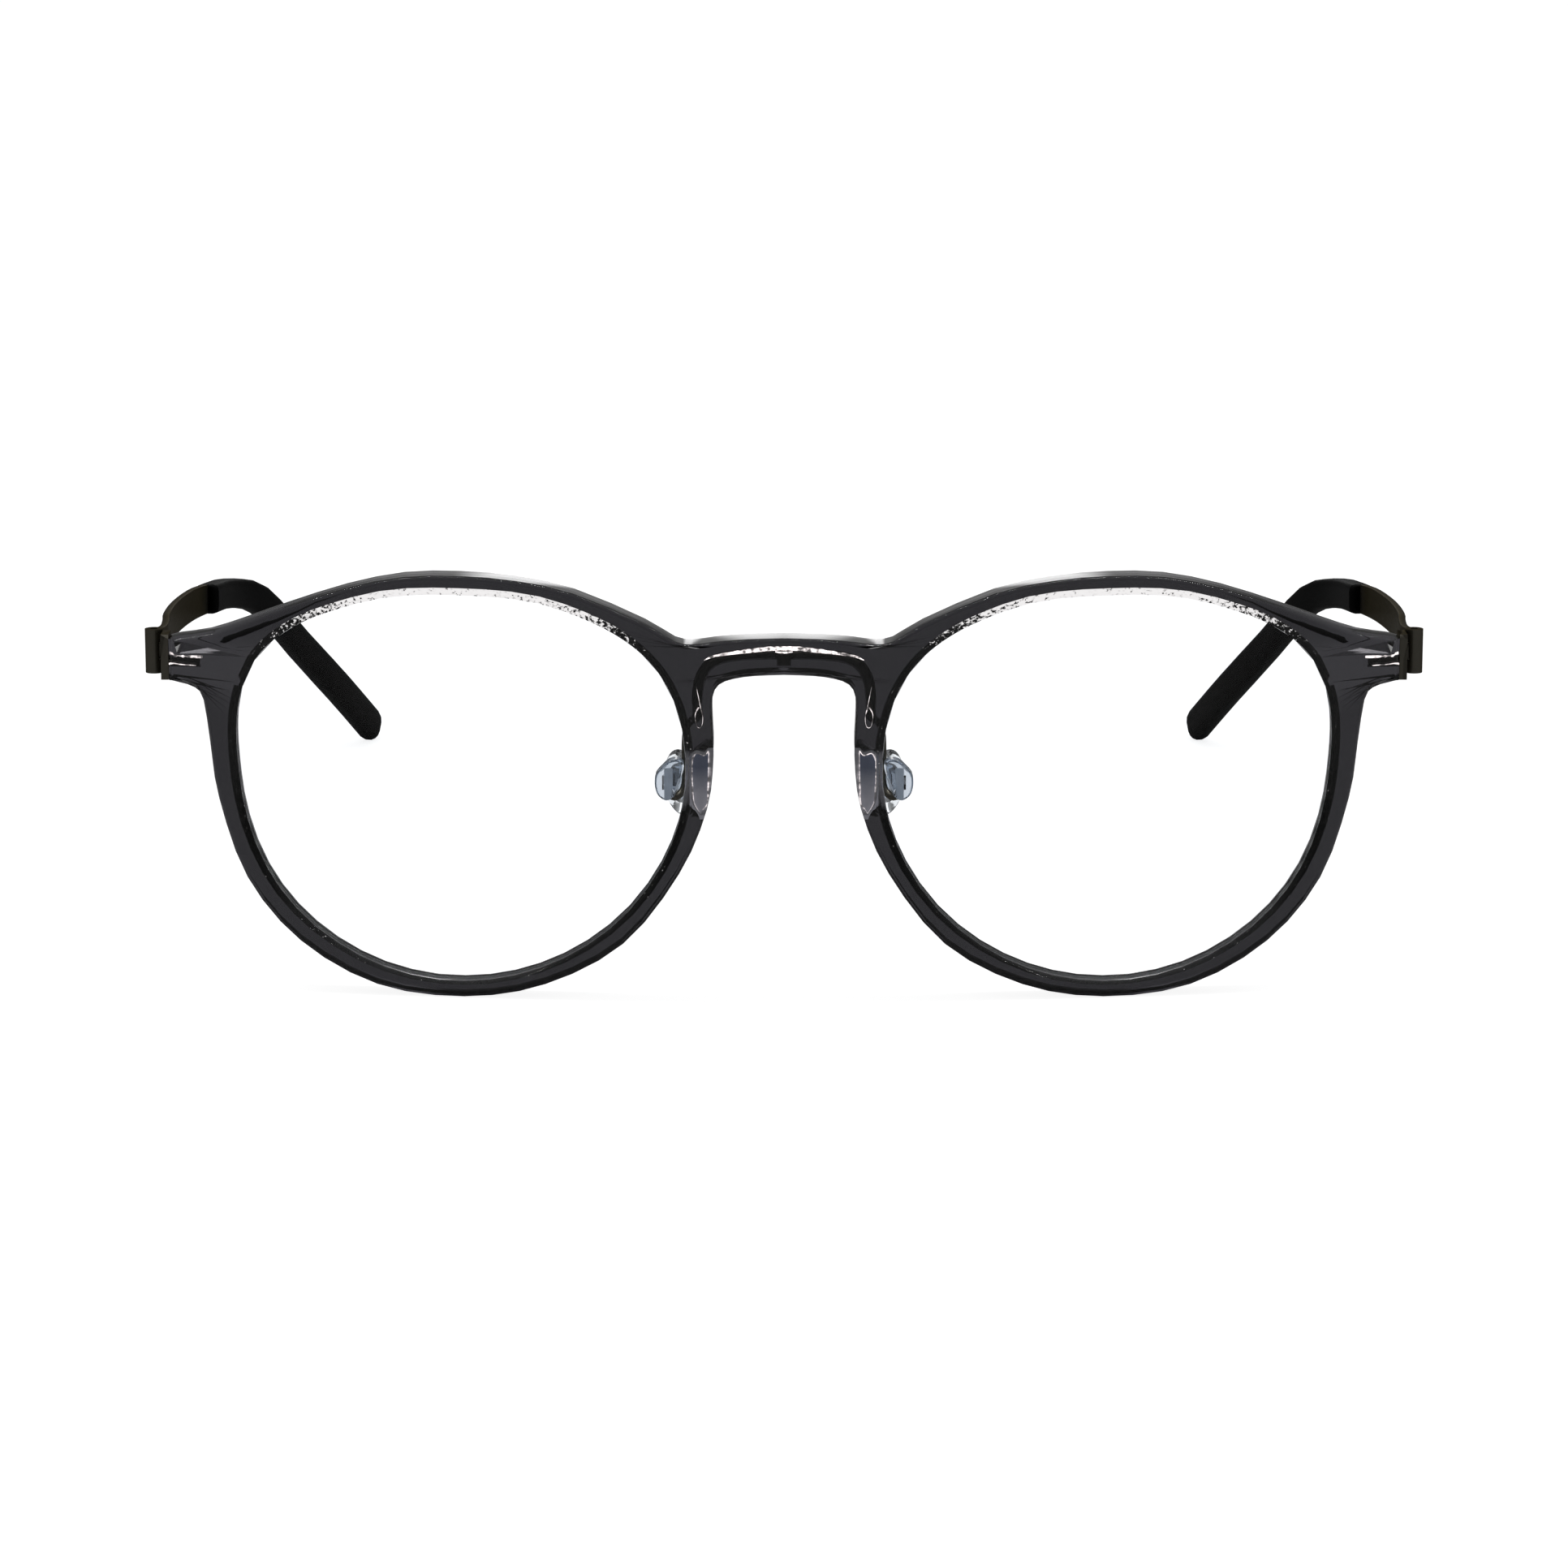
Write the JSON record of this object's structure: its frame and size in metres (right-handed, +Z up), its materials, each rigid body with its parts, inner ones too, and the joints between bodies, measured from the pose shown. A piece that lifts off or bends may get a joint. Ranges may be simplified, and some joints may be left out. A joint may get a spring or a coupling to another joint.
{
  "type": "round eyeglasses",
  "caption": "Round eyeglasses with a moulded translucent front over a metal bridge core, folding metal temples with rubber sleeves, and swivelling nose pads.",
  "frame": {"origin": "middle of the footprint, on the table that the rims and the sleeve tips stand on", "axes": "+X towards the wearer's left, +Y from the lenses back to the sleeve tips, +Z up"},
  "size_m": [0.1472, 0.1436, 0.0473],
  "materials": {
    "smoke_plastic": "polished translucent smoke-grey moulded plastic",
    "dark_titanium": "satin brown-black coated titanium",
    "clear_lens": "clear coated lens",
    "nylon": "natural nylon",
    "black_rubber": "matte black moulded rubber",
    "clear_silicone": "clear soft silicone",
    "clear_hard_plastic": "clear polished hard plastic"
  },
  "bodies": {
    "front_frame": {"front": "smoke_plastic", "bridge_core": "dark_titanium", "lens_left": "clear_lens", "lens_right": "clear_lens", "hinge_leaf_left": "dark_titanium", "hinge_leaf_right": "dark_titanium"},
    "temple_left": {"temple_blade_left": "dark_titanium", "temple_sleeve_left": "black_rubber", "hinge_pin_left": "dark_titanium", "hinge_washers_left": "nylon"},
    "temple_right": {"temple_blade_right": "dark_titanium", "temple_sleeve_right": "black_rubber", "hinge_pin_right": "dark_titanium", "hinge_washers_right": "nylon"},
    "pad_left": {"nose_pad_left": "clear_silicone", "pad_core_left": "clear_hard_plastic"},
    "pad_right": {"nose_pad_right": "clear_silicone", "pad_core_right": "clear_hard_plastic"}
  },
  "joints": [
    {"name": "temple_left_fold", "type": "hinge", "parent": "front_frame", "child": "temple_left", "pos_m": [0.06975, -0.06138, 0.037], "axis": [0, 0, 1], "range_deg": [0, 84]},
    {"name": "temple_right_fold", "type": "hinge", "parent": "front_frame", "child": "temple_right", "pos_m": [-0.06975, -0.06138, 0.037], "axis": [0, 0, -1], "range_deg": [0, 79]},
    {"name": "pad_left_swivel", "type": "hinge", "parent": "front_frame", "child": "pad_left", "pos_m": [0.01275, -0.06558, 0.0239], "axis": [0, 0, 1], "range_deg": [-8, 8]},
    {"name": "pad_right_swivel", "type": "hinge", "parent": "front_frame", "child": "pad_right", "pos_m": [-0.01275, -0.06558, 0.0239], "axis": [0, 0, 1], "range_deg": [-8, 8]}
  ]
}
